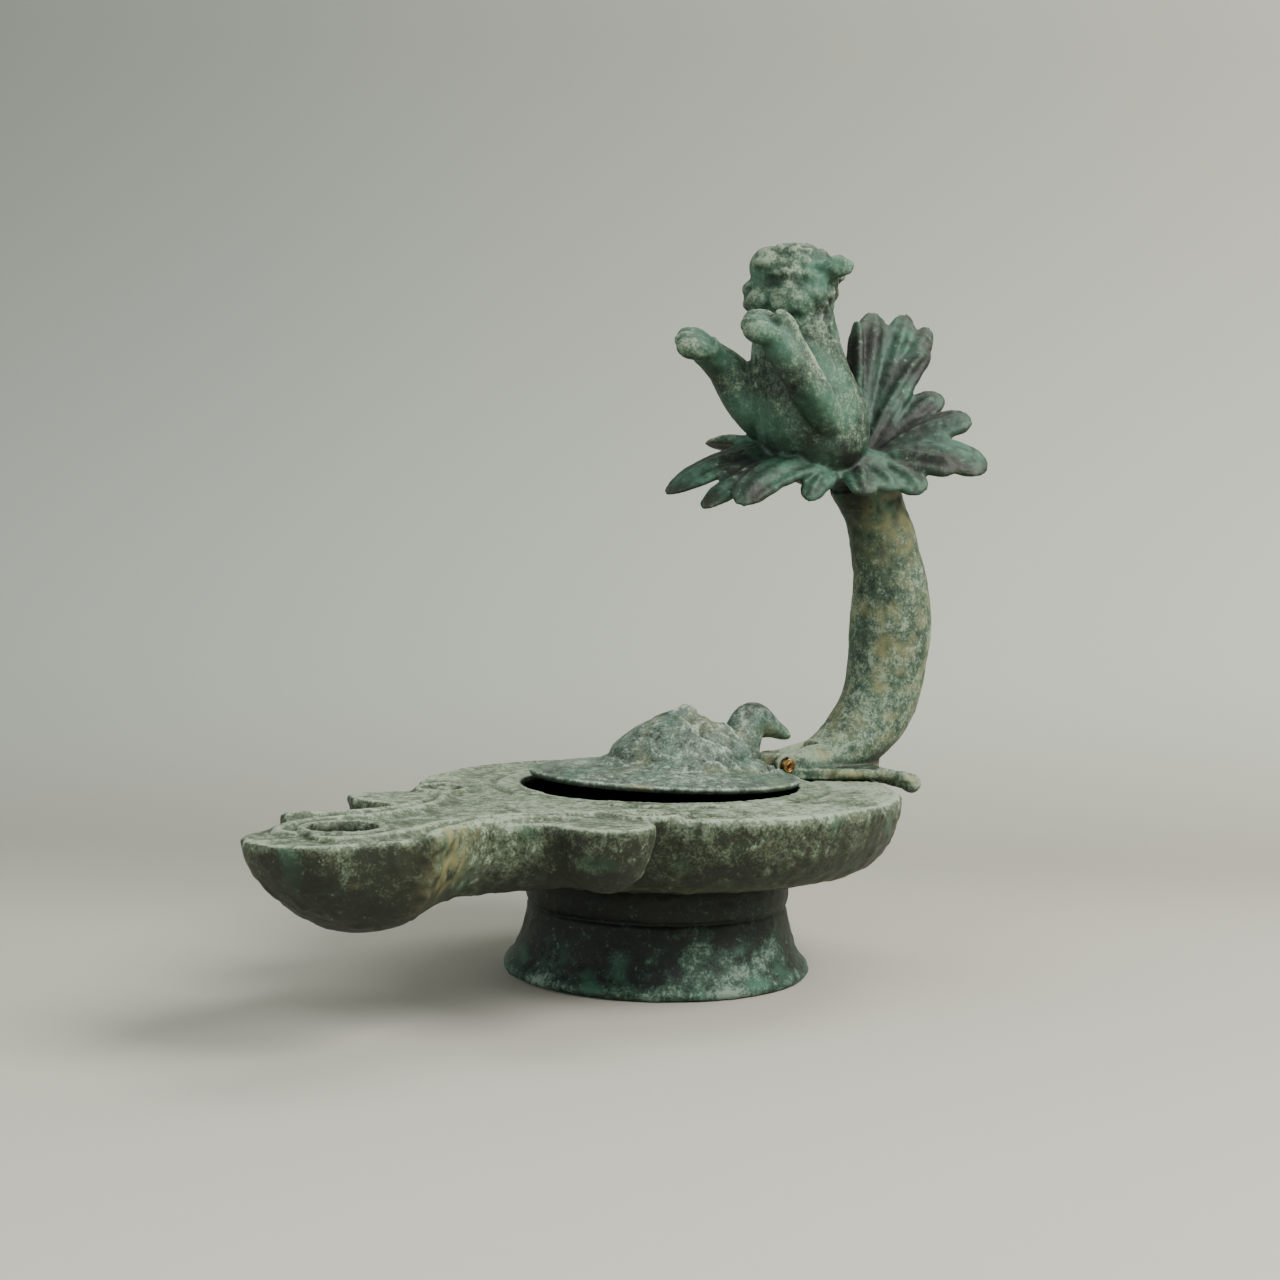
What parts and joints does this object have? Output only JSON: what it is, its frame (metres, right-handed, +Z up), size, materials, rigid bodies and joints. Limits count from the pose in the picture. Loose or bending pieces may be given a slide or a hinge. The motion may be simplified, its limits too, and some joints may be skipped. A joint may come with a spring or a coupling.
{
  "type": "oil lamp",
  "caption": "Roman cast bronze oil lamp: round bowl on a flared foot, voluted nozzle, hinged lid with a bearded mask, curved handle ending in leaves and a big cat's forepart.",
  "frame": {"origin": "on the ground under the middle of the lamp's overall length; the middle of the foot lies 18.4 mm from it towards +X", "axes": "-X to the nozzle's tip, +X to the handle, +Z up"},
  "size_m": [0.1827, 0.1, 0.1523],
  "materials": {
    "foot": "dark green bronze patina, matt",
    "lamp_body": "green bronze patina, matt",
    "handle": "mottled green bronze patina, matt",
    "lid": "pale green bronze patina, matt",
    "hinge_pin": "worn copper sheet"
  },
  "bodies": {
    "lamp": {"foot": "foot", "lamp_body": "lamp_body", "handle": "handle", "hinge_pin": "hinge_pin"},
    "lid": {"lid": "lid"}
  },
  "joints": [
    {"name": "lid_hinge", "type": "hinge", "parent": "lamp", "child": "lid", "pos_m": [0.04585, -0.01054, 0.0413], "axis": [0.3584, 0.9336, 0], "range_deg": [0, 50]}
  ]
}
